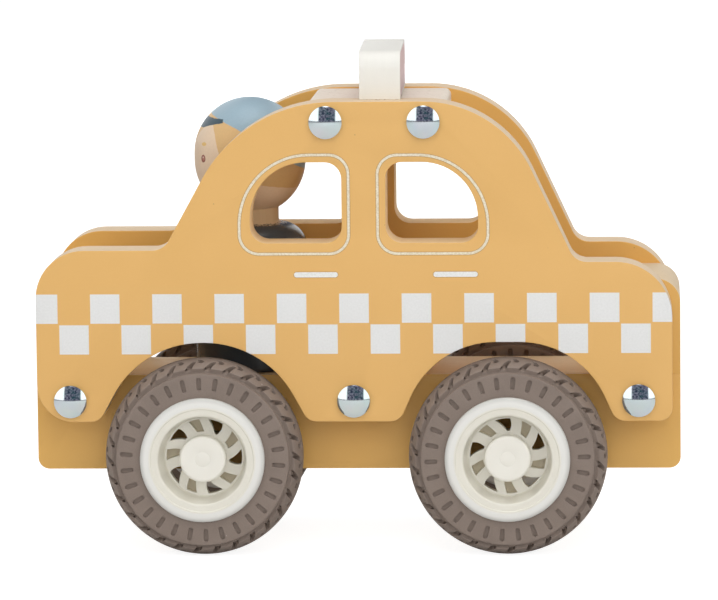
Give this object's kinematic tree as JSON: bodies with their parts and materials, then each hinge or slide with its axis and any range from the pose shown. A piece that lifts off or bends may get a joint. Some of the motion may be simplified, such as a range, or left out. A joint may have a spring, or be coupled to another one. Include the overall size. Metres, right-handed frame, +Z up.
{
  "type": "wooden toy taxi",
  "caption": "Wooden push-along toy taxi: flat painted side panels tied across a chassis, rubber-tyred wheels that roll on steel axles, a roof sign and a peg driver that lifts out.",
  "frame": {"origin": "on the ground under the middle of the car", "axes": "+X towards the rear of the car, +Y towards its right side, +Z up; the car drives towards -X"},
  "size_m": [0.1736, 0.0756, 0.1347],
  "materials": {
    "yellow_paint": "satin yellow paint on plywood and timber, with bare sanded edges",
    "bare_wood": "sanded, unpainted",
    "cream_paint": "satin cream paint on timber",
    "steel_rod": "drawn",
    "plated_cap": "bright zinc plate",
    "nylon": "natural nylon",
    "rim_plastic": "satin moulded, cream",
    "tyre_rubber": "matte, taupe",
    "slate_paint": "satin slate paint on turned timber",
    "head_paint": "turned timber with painted cap, hair and eyes"
  },
  "bodies": {
    "car_body": {"side_panel_left": "yellow_paint", "side_panel_right": "yellow_paint", "chassis": "yellow_paint", "front_block": "yellow_paint", "rear_block": "yellow_paint", "front_block_dowels": "bare_wood", "rear_block_dowels": "bare_wood", "roof_block": "bare_wood", "roof_sign": "cream_paint", "sign_dowels": "bare_wood", "roof_tie_rods": "steel_rod", "base_tie_rods": "steel_rod", "roof_caps_left": "plated_cap", "roof_caps_right": "plated_cap", "base_caps_left": "plated_cap", "base_caps_right": "plated_cap", "front_axle_bushes": "nylon", "rear_axle_bushes": "nylon"},
    "front_wheels": {"front_axle": "steel_rod", "front_washers": "nylon", "front_left_rim": "rim_plastic", "front_right_rim": "rim_plastic", "front_left_tyre": "tyre_rubber", "front_right_tyre": "tyre_rubber", "front_left_hub_cap": "rim_plastic", "front_right_hub_cap": "rim_plastic"},
    "rear_wheels": {"rear_axle": "steel_rod", "rear_washers": "nylon", "rear_left_rim": "rim_plastic", "rear_right_rim": "rim_plastic", "rear_left_tyre": "tyre_rubber", "rear_right_tyre": "tyre_rubber", "rear_left_hub_cap": "rim_plastic", "rear_right_hub_cap": "rim_plastic"},
    "driver": {"driver_body": "slate_paint", "driver_head": "head_paint", "driver_neck_dowel": "bare_wood"}
  },
  "joints": [
    {"name": "front_wheels_roll", "type": "hinge", "parent": "car_body", "child": "front_wheels", "pos_m": [-0.0407, 0, 0.0266], "axis": [0, 1, 0], "continuous": true},
    {"name": "rear_wheels_roll", "type": "hinge", "parent": "car_body", "child": "rear_wheels", "pos_m": [0.0407, 0, 0.0266], "axis": [0, 1, 0], "continuous": true},
    {"name": "driver_lift", "type": "slide", "parent": "car_body", "child": "driver", "axis": [0, 0, 1], "range_m": [0, 0.08]}
  ]
}
